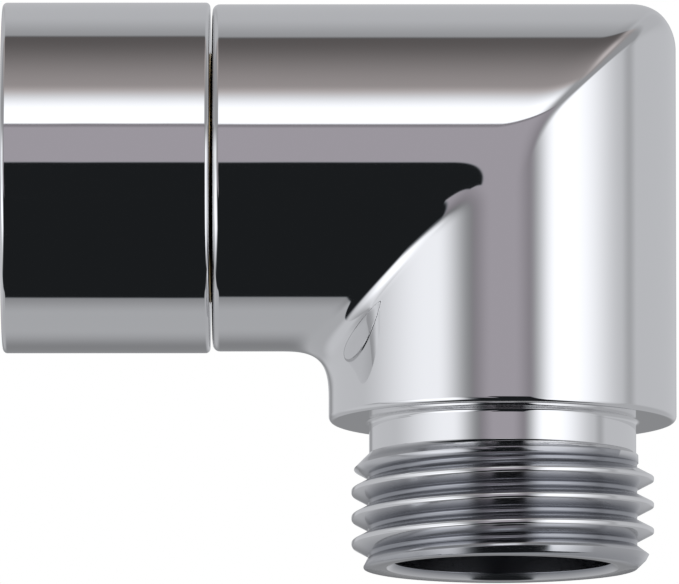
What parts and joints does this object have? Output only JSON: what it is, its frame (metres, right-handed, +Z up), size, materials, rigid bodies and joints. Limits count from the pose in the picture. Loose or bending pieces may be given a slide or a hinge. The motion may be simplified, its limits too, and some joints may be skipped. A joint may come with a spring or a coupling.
{
  "type": "shower valve elbow",
  "caption": "Chromed right-angle elbow with a loose smooth swivel collar on its level inlet and a male hose thread on its downward outlet.",
  "frame": {"origin": "on the level inlet axis, at the plane where the swivel collar's inside thread starts, 1.8 mm inside its mouth", "axes": "+X along the inlet axis from the valve towards the elbow, +Z up, so the threaded outlet points down along -Z"},
  "size_m": [0.0467, 0.0244, 0.0394],
  "materials": {
    "polished_chrome": "polished chrome plate on brass",
    "bare_brass": "turned brass",
    "black_rubber": "moulded black rubber"
  },
  "bodies": {
    "collar": {"swivel_collar": "polished_chrome"},
    "elbow": {"elbow_body": "polished_chrome", "swivel_tailpiece": "bare_brass", "tailpiece_oring": "black_rubber", "inlet_washer": "black_rubber"}
  },
  "joints": [
    {"name": "elbow_swivel", "type": "hinge", "parent": "collar", "child": "elbow", "pos_m": [0, 0, 0], "axis": [1, 0, 0], "continuous": true}
  ]
}
